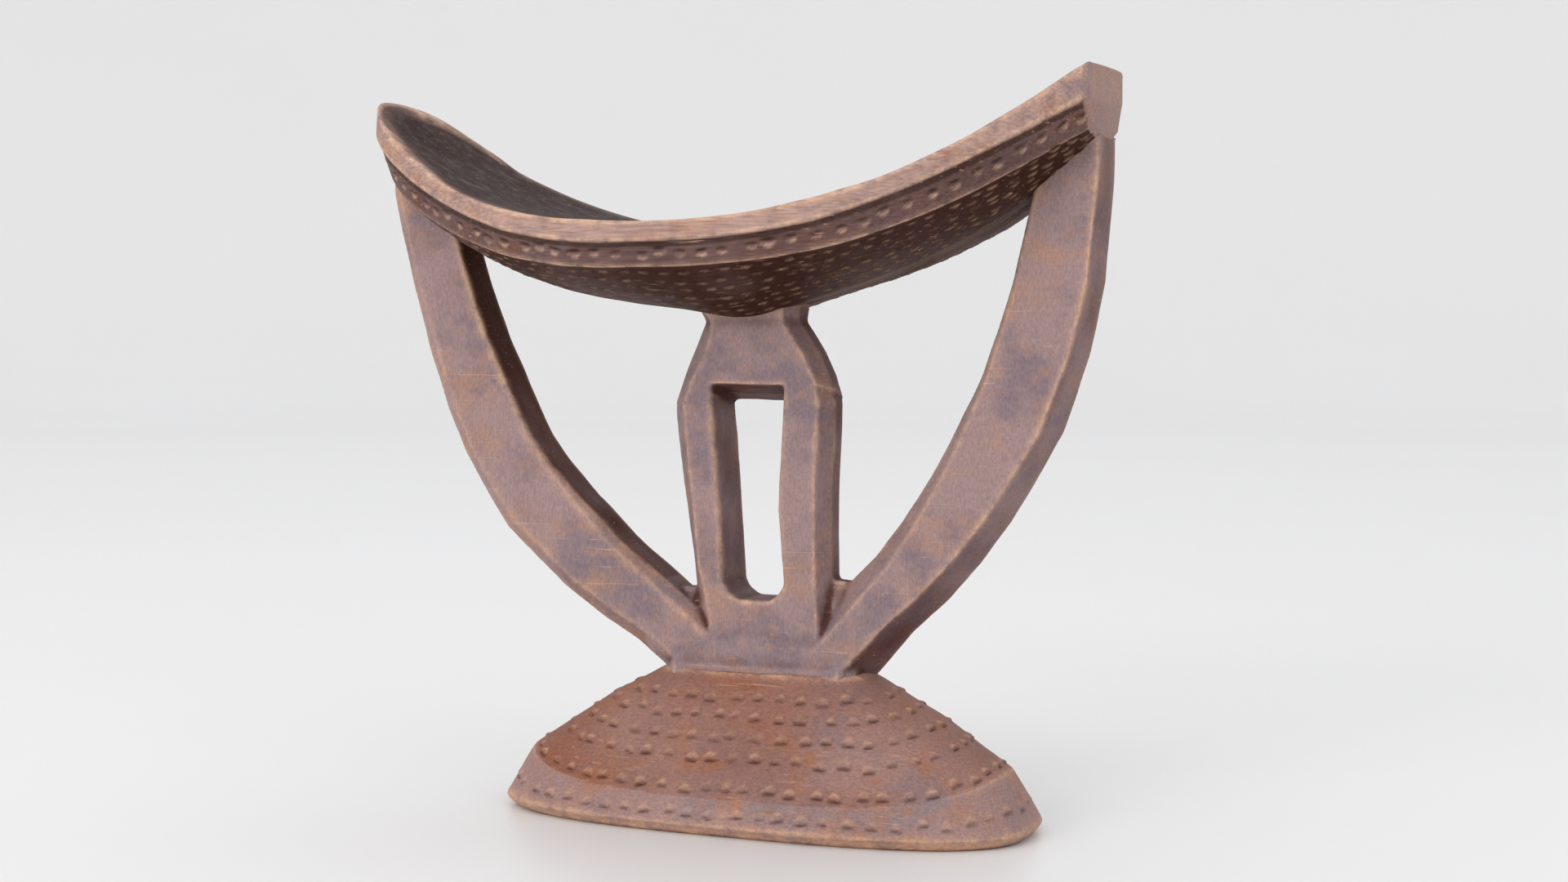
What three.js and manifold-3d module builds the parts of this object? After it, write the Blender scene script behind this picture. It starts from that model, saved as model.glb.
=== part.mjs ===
// Carved wooden headrest: a saddle-shaped neck cradle, carried by two curved arms
// and a pierced centre post that all grow out of an oval domed foot.
// Millimetres, +Z up, +X along the cradle. The origin lies on the floor, under the
// middle of the cradle. The wood is one block, so each carved member is its own
// solid and a narrow seam marks where it runs into its neighbour.
import * as THREE from 'three';
import * as BufferGeometryUtils from 'three/addons/utils/BufferGeometryUtils.js';
import Module from 'manifold-3d';

const wasm = await Module();
wasm.setup();

// ---- driving dimensions ----------------------------------------------------
const seam = 0.3; // clear width between two carved members

// cradle, seen from above
const cradleLength = 175;
const cradleDepth = 79;
const cradlePlanPower = 2.16; // 2 is an ellipse, more is squarer
const widestX = 2.6; // where the oval is widest
const blankOverrun = 6.5; // how far the oval would run past the flat right end

// cradle, seen from the front
const lowPointX = -6; // where the hollow is deepest
const hollowHeight = 132.5; // floor to the deepest point of the hollow
const leftRise = 31.2; // deepest point to the left tip
const rightRise = 31.8;
const leftRisePower = 2.4;
const rightRisePower = 2.25;
const dishDepth = 1.2; // the hollow is also slightly dished across
const rimHeight = 4.1; // plain band under the top edge, in the middle
const rimGrowth = 3.2; // how much taller it is at the ends
const rimBulge = 0.4; // the rim leans out by this, top to bottom
const rimStep = 0.8; // the punched band lies this far behind the rim
const sideHeight = 9.6; // top edge to the lower edge of the punched band
const sideGrowth = 3.2;
const sideInset = 3.4; // the punched band leans in by this
const keelDepth = 17.6; // top surface to the underside, along the middle
const keelHalfWidth = 6.8;
const keelEndInset = 3.8; // the left underside stops this far behind the tip
const hubDepth = 3.2; // the underside swells down to meet the post
const hubWidth = 15;

// arms
const armThickness = 14; // front to back
const armBevel = 1;
const armWidth = 15.6; // flat front face, outer to inner edge
const armTopWidth = 13.8; // the same, under the cradle
const armFootWidth = 12.8; // the same, at the waist
const armTopCover = 7; // the arm blank ends this far under the top surface

// post
const postX = 7.7;
const postThickness = 13;
const postBevelOut = 2;
const postBevelBack = 4.4;
const headHalfWidth = 9.6; // where the post meets the cradle
const shoulderHalfWidth = 16.4;
const ankleHalfWidth = 13.4;
const shoulderDrop = 17; // cradle underside to the widest point
const shoulderHeight = 4; // the widest stretch
const ankleHeight = 8; // straight stretch above the crotch
const slotTop = 95;
const slotBottom = 48.4;
const slotTopWidth = 18;
const slotWaistWidth = 15.4;

// waist
const footTop = 33.4; // top of the foot, where the waist starts
const waistX = 10.4;
const waistBottomHalfWidth = 23.6;
const waistHalfWidth = 25.6; // at the outer corner of each arm
const waistCornerRise = 3.4;
const crotchHeight = 50.8; // where the arms and the post part
const crotchHalfWidth = 16.6;

// foot
const footX = 9;
const footLength = 124;
const footDepth = 52.6;
const footPlanPower = 2.8;
const footRidge = 2.5; // height of the widest line
const underBevel = 2.2;
const footBandHeight = 8.6; // crease over the lower band, front and back
const footBandGrowth = 5.4; // and how much higher it runs at the ends
const footBandInset = 2.7;
const footBandEndInset = 6.6;
const domeTopHalfDepth = 9.6;
const domeBow = 1.4; // the dome's flanks swell out by this

// ---- derived ---------------------------------------------------------------
const leftTip = -cradleLength / 2;
const rightTip = cradleLength / 2;
const leftReach = lowPointX - leftTip;
const rightReach = rightTip - lowPointX;
const postTop = hollowHeight - keelDepth - hubDepth;

// ---- helpers ---------------------------------------------------------------
/** Keeps only positions, merges shared vertices and drops collapsed triangles. */
function welded(geometry) {
  const plain = geometry.clone();
  plain.deleteAttribute('normal');
  plain.deleteAttribute('uv');
  const merged = BufferGeometryUtils.mergeVertices(plain, 1e-4);
  const source = merged.index.array;
  const kept = [];
  for (let i = 0; i < source.length; i += 3) {
    const [a, b, c] = [source[i], source[i + 1], source[i + 2]];
    if (a !== b && b !== c && c !== a) kept.push(a, b, c);
  }
  merged.setIndex(kept);
  return merged;
}

/** Turns a closed three.js geometry into a solid that can be cut and joined. */
function solidOf(geometry) {
  const closed = welded(geometry);
  return new wasm.Manifold(new wasm.Mesh({
    numProp: 3,
    vertProperties: Float32Array.from(closed.attributes.position.array),
    triVerts: Uint32Array.from(closed.index.array),
  }));
}

/** Turns a solid back into a three.js geometry. */
function geometryOf(solid) {
  const mesh = solid.getMesh();
  const geometry = new THREE.BufferGeometry();
  geometry.setAttribute('position', new THREE.BufferAttribute(mesh.vertProperties, 3));
  geometry.setIndex(new THREE.BufferAttribute(mesh.triVerts, 1));
  return geometry;
}

/** A box solid from its two opposite corners. */
function boxSolid(low, high) {
  const size = new THREE.Vector3().subVectors(high, low);
  const middle = new THREE.Vector3().addVectors(low, high).multiplyScalar(0.5);
  const box = new THREE.BoxGeometry(size.x, size.y, size.z);
  return solidOf(box.translate(middle.x, middle.y, middle.z));
}

/** A board: an outline in the XZ plane given thickness along Y, its front and back edges bevelled. */
function boardSolid(outline, thickness, bevelOut, bevelBack) {
  const geometry = new THREE.ExtrudeGeometry(outline, {
    depth: thickness - 2 * bevelBack,
    bevelEnabled: bevelOut > 0,
    bevelSize: bevelOut,
    bevelThickness: bevelBack,
    bevelSegments: 1,
    curveSegments: 12,
  });
  geometry.translate(0, 0, bevelBack - thickness / 2);
  return solidOf(geometry.rotateX(Math.PI / 2));
}

/** An outline in the XZ plane through straight corner points. */
function polygon(points) {
  return new THREE.Shape(points.map(([x, z]) => new THREE.Vector2(x, z)));
}

/** Evenly spaced points on a smooth curve through the given points. */
function smooth(points, divisions) {
  const curve = new THREE.SplineCurve(points.map(([x, z]) => new THREE.Vector2(x, z)));
  return curve.getSpacedPoints(divisions);
}

/** |value|^power with the sign of the value. */
function signedPower(value, power) {
  return Math.sign(value) * Math.abs(value) ** power;
}

/**
 * A closed oval body made of stacked rings. The first and last ring are single
 * points. place(ring, along, across) gives the point for a direction of the ring.
 */
function ovalSolid(rings, segments, place) {
  const last = rings.length - 1;
  const profile = rings.map((_, i) => new THREE.Vector2(i === 0 || i === last ? 0 : 1, i));
  const lathe = new THREE.LatheGeometry(profile, segments);
  const position = lathe.attributes.position;
  for (let i = 0; i < position.count; i += 1) {
    const ring = rings[Math.round(position.getY(i))];
    const point = place(ring, position.getX(i), position.getZ(i));
    position.setXYZ(i, point.x, point.y, point.z);
  }
  return solidOf(lathe);
}

// ---- cradle ----------------------------------------------------------------
/** Share of the way from the deepest point (0) to the tip (1). */
function endShare(x) {
  return x < lowPointX ? (lowPointX - x) / leftReach : (x - lowPointX) / rightReach;
}

/** Height of the cradle's top edge. */
function topHeight(x) {
  const share = Math.max(endShare(x), 0);
  const left = leftRise * share ** leftRisePower;
  const right = rightRise * share ** rightRisePower;
  return hollowHeight + (x < lowPointX ? left : right);
}

/** Thickness of the cradle along its middle. */
function keelAt(x) {
  return keelDepth + hubDepth * Math.exp(-(((x - postX) / hubWidth) ** 2));
}

function sideAt(x) {
  return sideHeight + sideGrowth * endShare(x) ** 2;
}

function rimAt(x) {
  return rimHeight + rimGrowth * endShare(x) ** 2;
}

/** One ring of the cradle: its share of the length and depth, its inset and its drop from the top edge. */
function cradleRing(lengthShare, depthShare, inset, drop) {
  return { lengthShare, depthShare, inset, drop };
}

const keelShare = keelHalfWidth / (cradleDepth / 2 - sideInset);

function undersideRing(depthShare, fullness) {
  const inset = sideInset + (keelEndInset - sideInset) * fullness;
  return cradleRing(1, depthShare, inset, (x) => sideAt(x) + (keelAt(x) - sideAt(x)) * fullness);
}

const cradleRings = [
  ...[0, 0.2, 0.4, 0.6, 0.8].map((share) => (
    cradleRing(share, share, rimBulge, () => dishDepth * (1 - share ** 2)))),
  cradleRing(1, 1, rimBulge, () => 0),
  cradleRing(1, 1, 0, rimAt),
  cradleRing(1, 1, rimStep, (x) => rimAt(x) + rimStep),
  cradleRing(1, 1, sideInset, sideAt),
  undersideRing(0.82, 0.34),
  undersideRing(0.6, 0.66),
  undersideRing(0.38, 0.88),
  undersideRing(keelShare, 1),
  ...[0.8, 0.62, 0.46, 0.32, 0.2, 0.1, 0].map((share) => (
    cradleRing(share, keelShare * share, keelEndInset, keelAt))),
];

function cradlePoint(ring, along, across) {
  const reach = along < 0 ? widestX - leftTip : rightTip + blankOverrun - widestX;
  const halfLength = (reach - ring.inset) * ring.lengthShare;
  const halfDepth = (cradleDepth / 2 - ring.inset) * ring.depthShare;
  const x = Math.min(widestX + halfLength * signedPower(along, 2 / cradlePlanPower), rightTip);
  const y = halfDepth * signedPower(across, 2 / cradlePlanPower);
  return new THREE.Vector3(x, y, topHeight(x) - ring.drop(x));
}

const cradle = ovalSolid(cradleRings, 72, cradlePoint);
const cradleCutter = cradle.translate([0, 0, -seam]);

// ---- waist -----------------------------------------------------------------
/** The waist's outline from a given bottom height, grown at the sides and top by a margin. */
function waistOutline(bottom, margin) {
  const corner = footTop + waistCornerRise;
  return polygon([
    [waistX - waistBottomHalfWidth - margin, bottom],
    [waistX + waistBottomHalfWidth + margin, bottom],
    [waistX + waistHalfWidth + margin, corner],
    [waistX + crotchHalfWidth + margin, crotchHeight + margin],
    [waistX - crotchHalfWidth - margin, crotchHeight + margin],
    [waistX - waistHalfWidth - margin, corner],
  ]);
}

/** The slot through the post, a little narrower half way up. */
function slotOutline() {
  const middle = (slotTop + slotBottom) / 2;
  return polygon([
    [postX - slotTopWidth / 2, slotTop],
    [postX - slotWaistWidth / 2, middle],
    [postX - slotWaistWidth / 2, slotBottom],
    [postX + slotWaistWidth / 2, slotBottom],
    [postX + slotWaistWidth / 2, middle],
    [postX + slotTopWidth / 2, slotTop],
  ]);
}

const slot = boardSolid(slotOutline(), 2 * armThickness, 0, 0);
const waistCutter = boardSolid(waistOutline(0, seam), 2 * armThickness, 0, 0);
const waist = boardSolid(waistOutline(footTop + seam, 0), armThickness, 0, 0).subtract(slot);

/** The post's outline, grown sideways by a margin: narrow head, wide shoulders, slight taper. */
function postOutline(margin) {
  const shoulder = postTop - shoulderDrop;
  const foot = footTop + waistCornerRise;
  const rightSide = [
    [headHalfWidth, postTop + keelDepth / 2],
    [headHalfWidth, postTop - 1],
    [shoulderHalfWidth, shoulder],
    [shoulderHalfWidth, shoulder - shoulderHeight],
    [ankleHalfWidth, crotchHeight + ankleHeight],
    [ankleHalfWidth, foot],
  ];
  return polygon([
    ...rightSide.map(([halfWidth, z]) => [postX + halfWidth + margin, z]),
    ...[...rightSide].reverse().map(([halfWidth, z]) => [postX - halfWidth - margin, z]),
  ]);
}

const postCutter = boardSolid(postOutline(postBevelOut + seam), 2 * armThickness, 0, 0);

// ---- arms ------------------------------------------------------------------
/** Height of an arm's end inside the cradle's wood. */
function armEndHeight(x) {
  return topHeight(x) - armTopCover;
}

/**
 * An arm: a board along its outer edge, trimmed by the cradle, the post and the waist. The edge starts
 * inside the cradle, tipInset from the tip. Each further step is [out, up]: the share of the
 * way from the waist's corner to the tip, and from the foot's top to the arm's end.
 */
function armSolid(side, tip, tipInset, steps) {
  const cornerX = waistX + side * waistHalfWidth;
  const startX = tip - side * tipInset;
  const startZ = armEndHeight(startX);
  const outer = smooth([
    [startX, startZ],
    ...steps.map(([out, up]) => [cornerX + out * (tip - cornerX), footTop + up * (startZ - footTop)]),
  ], 24);
  const inner = outer.map((point, i) => {
    const before = outer[Math.max(i - 1, 0)];
    const after = outer[Math.min(i + 1, outer.length - 1)];
    const inward = new THREE.Vector2(before.y - after.y, after.x - before.x).normalize();
    const down = i / (outer.length - 1);
    const width = armWidth + (armTopWidth - armWidth) * (1 - down) ** 2
      + (armFootWidth - armWidth) * down ** 2;
    const edge = point.clone().addScaledVector(inward, -side * width);
    edge.y = Math.min(edge.y, armEndHeight(edge.x));
    return edge;
  });
  return boardSolid(new THREE.Shape([...outer, ...inner.reverse()]), armThickness, armBevel, armBevel)
    .subtract(cradleCutter)
    .subtract(postCutter)
    .subtract(waistCutter);
}

const leftArm = armSolid(-1, leftTip, 4.9, [
  [0.896, 0.795], [0.824, 0.659], [0.75, 0.499], [0.645, 0.373], [0.487, 0.249], [0.253, 0.13],
  [-0.07, 0],
]);
const rightArm = armSolid(1, rightTip, 1.1, [
  [0.963, 0.873], [0.92, 0.703], [0.866, 0.579], [0.746, 0.443], [0.536, 0.289], [0.287, 0.156],
  [-0.078, 0],
]);

// ---- post ------------------------------------------------------------------
/** The part of the pierced post that lies between two heights and two sides. */
function postPiece(left, right, low, high) {
  return post.intersect(boxSolid(
    new THREE.Vector3(left, -postThickness, low),
    new THREE.Vector3(right, postThickness, high),
  ));
}

const post = boardSolid(postOutline(0), postThickness, postBevelOut, postBevelBack)
  .subtract(slot)
  .subtract(cradleCutter);
const legTop = slotTop - seam;
const legBottom = crotchHeight + seam;
const farSide = 2 * shoulderHalfWidth;
const postHead = postPiece(postX - farSide, postX + farSide, slotTop, hollowHeight);
const leftLeg = postPiece(postX - farSide, postX, legBottom, legTop);
const rightLeg = postPiece(postX, postX + farSide, legBottom, legTop);

// ---- foot ------------------------------------------------------------------
/** One ring of the foot: centre, half length, half depth, squareness, height and end growth. */
function footRing(centre, halfLength, halfDepth, power, height, growth = 0) {
  return { centre, halfLength, halfDepth, power, height, growth };
}

/** A ring between the foot's crease and the dome's top, on a slightly swollen flank. */
function domeRing(share) {
  const bow = domeBow * Math.sin(Math.PI * share);
  const mix = (low, high) => low + (high - low) * share;
  return footRing(
    mix(footX, waistX),
    mix(footLength / 2 - footBandEndInset, waistBottomHalfWidth) + bow,
    mix(footDepth / 2 - footBandInset, domeTopHalfDepth) + bow,
    mix(footPlanPower, 3.2),
    mix(footBandHeight, footTop),
    footBandGrowth * (1 - share),
  );
}

const footRings = [
  footRing(waistX, 0, 0, 2, footTop),
  ...[1, 0.75, 0.5, 0.25, 0].map(domeRing),
  footRing(footX, footLength / 2, footDepth / 2, footPlanPower, footRidge),
  footRing(footX, footLength / 2 - underBevel, footDepth / 2 - underBevel, footPlanPower, 0),
  footRing(footX, footLength / 4, footDepth / 4, footPlanPower, 0),
  footRing(footX, 0, 0, 2, 0),
];

function footPoint(ring, along, across) {
  const x = ring.centre + ring.halfLength * signedPower(along, 2 / ring.power);
  const y = ring.halfDepth * signedPower(across, 2 / ring.power);
  return new THREE.Vector3(x, y, ring.height + ring.growth * along ** 4);
}

const foot = ovalSolid(footRings, 64, footPoint);

// ---- scene -----------------------------------------------------------------
/** A satin, hand-worn wood colour. */
function wood(color, roughness) {
  return new THREE.MeshStandardMaterial({ color, roughness, metalness: 0 });
}

const headrest = new THREE.Group();

function addMember(name, solid, material) {
  const mesh = new THREE.Mesh(geometryOf(solid), material);
  mesh.name = name;
  headrest.add(mesh);
}

addMember('cradle', cradle, wood(0x6f4f47, 0.55));
addMember('left_arm', leftArm, wood(0x8d6c62, 0.6));
addMember('right_arm', rightArm, wood(0x8d6c62, 0.6));
addMember('post_head', postHead, wood(0x8a675c, 0.6));
addMember('post_left_leg', leftLeg, wood(0x8a675c, 0.6));
addMember('post_right_leg', rightLeg, wood(0x8a675c, 0.6));
addMember('waist', waist, wood(0x8a675c, 0.6));
addMember('foot', foot, wood(0x7a4d3c, 0.65));

export default headrest;
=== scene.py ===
"""A carved wooden headrest on a pale studio floor: cradle, two arms, pierced post, waist and foot."""

import enum
import itertools
import logging
import math
from collections.abc import Callable
from dataclasses import dataclass, replace

import bmesh
import bpy
import numpy as np
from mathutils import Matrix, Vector


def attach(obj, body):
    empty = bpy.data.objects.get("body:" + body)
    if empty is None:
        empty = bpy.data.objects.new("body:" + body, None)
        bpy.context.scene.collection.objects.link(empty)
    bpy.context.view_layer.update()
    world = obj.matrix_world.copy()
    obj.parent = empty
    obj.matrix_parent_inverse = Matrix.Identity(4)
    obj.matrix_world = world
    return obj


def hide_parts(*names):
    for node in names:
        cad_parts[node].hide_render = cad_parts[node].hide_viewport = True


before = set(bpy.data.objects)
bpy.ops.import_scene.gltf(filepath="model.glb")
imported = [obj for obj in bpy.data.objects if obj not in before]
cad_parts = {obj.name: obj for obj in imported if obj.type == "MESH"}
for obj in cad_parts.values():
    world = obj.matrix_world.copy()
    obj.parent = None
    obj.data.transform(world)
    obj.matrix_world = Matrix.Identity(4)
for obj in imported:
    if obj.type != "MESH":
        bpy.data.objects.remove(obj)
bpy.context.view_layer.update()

log = logging.getLogger("headrest")

MM_PER_M = 1000.0
BODY = "root"

Mesh, Material, Socket = bpy.types.Mesh, bpy.types.Material, bpy.types.NodeSocket
Array = np.ndarray
Pair = tuple[float, float]
Triple = tuple[float, float, float]
Quad = tuple[float, float, float, float]
Outline = list[Pair]  # points (x, z) in millimetres
Section = Array  # points of one closed section, in millimetres
Swelling = tuple[float, float, int]  # height and size in millimetres, and a seed


# ---- small tools -----------------------------------------------------------
def linear(hex_colour: str) -> Quad:
    """Turn an sRGB hex colour into the linear colour that a shader takes.

    Args:
        hex_colour: six hex digits after a hash.

    Returns:
        Red, green, blue and alpha, from 0 to 1.
    """
    shares = [int(hex_colour[i:i + 2], 16) / 255 for i in (1, 3, 5)]
    red, green, blue = [s / 12.92 if s <= 0.04045 else ((s + 0.055) / 1.055) ** 2.4 for s in shares]
    return red, green, blue, 1.0


def signed_power(values: Array, power: float) -> Array:
    """Raise the size of each value to a power and keep its sign."""
    return np.sign(values) * np.abs(values) ** power


def ridge(values: Array, middle: float, width: float) -> Array:
    """A smooth ridge: 1 in the middle, fading out over this width."""
    return np.exp(-((values - middle) / width) ** 2)


def fade(values: Array, start: float, run: float) -> Array:
    """From 0 at the start to 1 after the run, and flat on either side."""
    return np.clip((values - start) / run, 0, 1)


def scatter(cells: Array, seed: int) -> Array:
    """Give each whole-number cell its own number from 0 to 1, the same on every run."""
    mixed = cells @ np.array([73856093, 19349663, 83492791]) + seed * 2654435761
    mixed = (mixed ^ (mixed >> 13)) * 1274126177
    return ((mixed ^ (mixed >> 16)) & 0xFFFF) / 0xFFFF


def unevenness(points: Array, size: float, seed: int) -> Array:
    """Smooth random unevenness from -1 to 1.

    Args:
        points: places in millimetres.
        size: distance between one swelling and the next, in millimetres.
        seed: a different number gives a different pattern.

    Returns:
        One number for each point.
    """
    scaled = points / size
    cells = np.floor(scaled).astype(np.int64)
    share = scaled - cells
    share = share * share * (3 - 2 * share)
    total = np.zeros(len(points))
    for corner in itertools.product((0, 1), repeat=3):
        weight = np.where(np.array(corner) == 1, share, 1 - share).prod(axis=1)
        total += weight * scatter(cells + np.array(corner), seed)
    return 2 * total - 1


def placed(name: str, data: bpy.types.ID) -> bpy.types.Object:
    """Put an object with this data into the scene."""
    made = bpy.data.objects.new(name, data)
    bpy.context.scene.collection.objects.link(made)
    return made


# ---- gouge marks -----------------------------------------------------------
class MarkForm(enum.Enum):
    """Which way the gouge was pushed."""

    SCOOP = "scoop"  # a hollow with a straight upper edge and a round lower lip
    ARCH = "arch"  # a raised round brow with a straight undercut below it


PAST_RIM = 9.0  # a reach well outside the mark
FALL = 0.16  # share of a mark's height over which its straight edge falls away


@dataclass(frozen=True)
class GougeMark:
    """One stab of a small round gouge, in millimetres."""

    form: MarkForm
    width: float = 2.9
    height: float = 1.7
    depth: float = 0.45
    lip: float = 0.14
    shine: float = 0.8  # how bright the painted highlight on its lip is, which is partly rubbed wear

    def profile(self, across: Array, down: Array) -> tuple[Array, Array, Array]:
        """Work out the mark's relief round its middle.

        Args:
            across: distance along the row.
            down: distance down the surface.

        Returns:
            The height at each point, and how far it is painted light and dark, from 0 to 1: a painted
            highlight on the lip, partly rubbed wear, and a painted shadow under its straight edge or brow,
            partly grime.
        """
        side = across / (self.width / 2)
        bow = np.sqrt(np.clip(1 - side ** 2, 0, 1))
        inside = np.abs(side) < 1
        level = down / self.height + 0.5
        if self.form is MarkForm.ARCH:
            level = 1 - level
        # 0 at the straight edge, 1 at the rim
        reach = np.where(inside, level / np.maximum(bow, 0.15), PAST_RIM)
        if self.form is MarkForm.SCOOP:
            floor = np.clip(1 - reach, 0, 1) * np.clip(level / FALL + 1, 0, 1) * bow
            rim = ridge(reach, 1.05, 0.22) * bow
            relief = self.lip * rim - self.depth * floor
            # a painted highlight near the round lip, and a painted shadow along the straight upper edge where
            # the wall faces down
            return relief, ridge(reach, 0.85, 0.28) * bow, ridge(level, 0.02, 0.26) * bow * inside
        brow = np.clip(1 - reach, 0, 1) ** 0.6 * (level > 0) * inside
        under = ridge(level, -0.1, 0.17) * bow * inside
        relief = self.lip * 2.2 * brow - self.depth * 0.7 * under
        # a painted highlight on the brow, partly rubbed wear, and a painted shadow in the undercut below it
        return relief, ridge(reach, 0.72, 0.3) * bow, under


# ---- a mesh under the knife ------------------------------------------------
WORN_EDGE = 0.07  # how far an edge stands proud when it is rubbed fully light, in millimetres
THIN_LINE, WIDE_LINE = 4, 34  # passes of rubbing down that show a thin worn line and a wide one


class Carving:
    """A mesh while it is being worked, with its points in millimetres."""

    def __init__(self, mesh: Mesh) -> None:
        """Read the points and edges of a mesh that is in metres."""
        self.mesh = mesh
        count = len(mesh.vertices)
        flat = np.empty(count * 3)
        mesh.vertices.foreach_get("co", flat)
        self.points = flat.reshape(count, 3) * MM_PER_M
        ends = np.empty(len(mesh.edges) * 2, dtype=np.int64)
        mesh.edges.foreach_get("vertices", ends)
        self.pairs = ends.reshape(-1, 2)
        self.neighbours = np.maximum(np.bincount(ends, minlength=count), 1)[:, None]
        # light holds rubbed wear and painted highlights, dark holds grime and painted shadow, tone holds
        # darker wood and painted shade
        self.light = np.zeros(count)
        self.dark = np.zeros(count)
        self.tone = np.zeros(count)

    def store(self) -> None:
        """Write the points back to the mesh."""
        self.mesh.vertices.foreach_set("co", (self.points / MM_PER_M).ravel())
        self.mesh.update()

    def normals(self) -> Array:
        """Give the outward direction at each point."""
        self.store()
        flat = np.empty(len(self.points) * 3)
        self.mesh.vertex_normals.foreach_get("vector", flat)
        return flat.reshape(-1, 3)

    def eased(self, passes: int) -> Array:
        """Give the points as many passes of rubbing down would leave them."""
        first, second = self.pairs.T
        count = len(self.points)
        points = self.points
        for _ in range(passes):
            total = np.stack([
                np.bincount(first, points[second, i], count) + np.bincount(second, points[first, i], count)
                for i in range(3)
            ], axis=1)
            points = 0.5 * points + 0.5 * total / self.neighbours
        return points

    def push(self, distance: Array) -> None:
        """Move each point outwards by its own distance."""
        self.points = self.points + self.normals() * distance[:, None]

    def bulge(self, passes: int) -> Array:
        """How far each point stands proud of its surroundings, in millimetres, negative in a hollow."""
        return ((self.points - self.eased(passes)) * self.normals()).sum(axis=1)

    def stab(self, mark: GougeMark, spots: Array, along: Array, seed: int) -> None:
        """Press a mark in at each spot, and paint its highlight and shadow.

        Args:
            mark: the mark.
            spots: index of the point at each mark's middle.
            along: the direction of the row at each spot.
            seed: sets each stab's own size and slip.
        """
        hand = np.random.default_rng(seed)
        normals = self.normals()
        relief = np.zeros(len(self.points))
        for spot, row in zip(spots, along):
            size = hand.uniform(0.84, 1.16)
            turn = hand.normal(0, 0.1)  # radians
            force = hand.uniform(0.65, 1.2)
            normal = normals[spot]
            across = row - normal * (row @ normal)
            across /= np.linalg.norm(across)
            down = np.cross(normal, across)
            down *= -np.sign(down[2])
            cosine, sine = math.cos(turn), math.sin(turn)
            across, down = across * cosine + down * sine, down * cosine - across * sine
            offset = self.points - self.points[spot]
            near = np.flatnonzero((np.abs(offset) < mark.width).all(axis=1))
            offset = offset[near]
            slip = hand.normal(0, 0.3)  # millimetres down the surface
            height, light, dark = mark.profile(offset @ across / size, offset @ down / size - slip)
            relief[near] += height * force
            # paint the mark's highlight, partly rubbed wear, and its shadow, partly grime
            self.light[near] = np.maximum(self.light[near], light * min(force, 1) * mark.shine)
            self.dark[near] = np.maximum(self.dark[near], dark * min(force, 1))
        self.points = self.points + normals * relief[:, None]

    def stab_row(self, mark: GougeMark, ring: slice, spacing: float, number: int,
                 seeds: tuple[int, int], end_x: float = math.inf) -> None:
        """Press in one row of marks.

        Args:
            mark: the mark.
            ring: where the ring of points that carries the row lies among all the points.
            spacing: distance from mark to mark, in millimetres.
            number: counts the rows, because every other one starts half a space later.
            seeds: first seeds for the places and for the stabs.
            end_x: no mark is made past this x.
        """
        points = self.points[ring]
        spots = row_spots(points, spacing, 0.5 * (number % 2), seeds[0] + number)
        spots = spots[points[spots, 0] < end_x]
        along = np.roll(points, -2, axis=0)[spots] - np.roll(points, 2, axis=0)[spots]
        self.stab(mark, ring.start + spots, along, seeds[1] + number)

    def waver(self, *swellings: Swelling) -> Array:
        """How far the knife strayed at each point, in millimetres."""
        return sum(height * unevenness(self.points, size, seed) for height, size, seed in swellings)

    def wear(self) -> None:
        """Rub the proud edges light, in a thin line and a wide soft one, and leave the hollows dark."""
        thin = self.bulge(THIN_LINE) / WORN_EDGE
        wide = self.bulge(WIDE_LINE) / (WORN_EDGE * 5)
        self.light = np.clip(np.maximum.reduce([self.light, thin - 0.15, wide * 0.6 - 0.1]), 0, 1)
        self.dark = np.clip(np.maximum.reduce([self.dark, -0.2 - thin, -wide * 1.2 - 0.05]), 0, 1)

    def record(self) -> None:
        """Keep light, dark and tone on the mesh for its finish to read."""
        self.store()
        for name, values in (("light", self.light), ("dark", self.dark), ("tone", self.tone)):
            kept = self.mesh.attributes.new(name, "FLOAT", "POINT")
            kept.data.foreach_set("value", values.astype(np.float32))
        self.mesh.polygons.foreach_set("use_smooth", np.ones(len(self.mesh.polygons), dtype=bool))
        self.mesh.update()


def oval_mesh(name: str, rings: Array) -> Mesh:
    """Close a stack of rings into a mesh. The first and last ring are single points.

    Args:
        name: the mesh's name.
        rings: points in millimetres, ring by ring.

    Returns:
        The mesh, in metres.
    """
    count, segments = rings.shape[0] - 2, rings.shape[1]
    points = np.vstack([rings[0, :1], rings[1:-1].reshape(-1, 3), rings[-1, :1]])
    here = np.arange(segments)
    after = (here + 1) % segments
    faces: list[list[int]] = np.stack([np.zeros_like(here), 1 + after, 1 + here], axis=1).tolist()
    for ring in range(count - 1):
        low = 1 + ring * segments
        high = low + segments
        faces += np.stack([low + here, low + after, high + after, high + here], axis=1).tolist()
    last = 1 + (count - 1) * segments
    tip = np.full_like(here, len(points) - 1)
    faces += np.stack([last + here, last + after, tip], axis=1).tolist()
    mesh = bpy.data.meshes.new(name)
    mesh.from_pydata((points / MM_PER_M).tolist(), [], faces)
    worked = bmesh.new()
    worked.from_mesh(mesh)
    bmesh.ops.recalc_face_normals(worked, faces=worked.faces)
    worked.to_mesh(mesh)
    worked.free()
    return mesh


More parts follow.
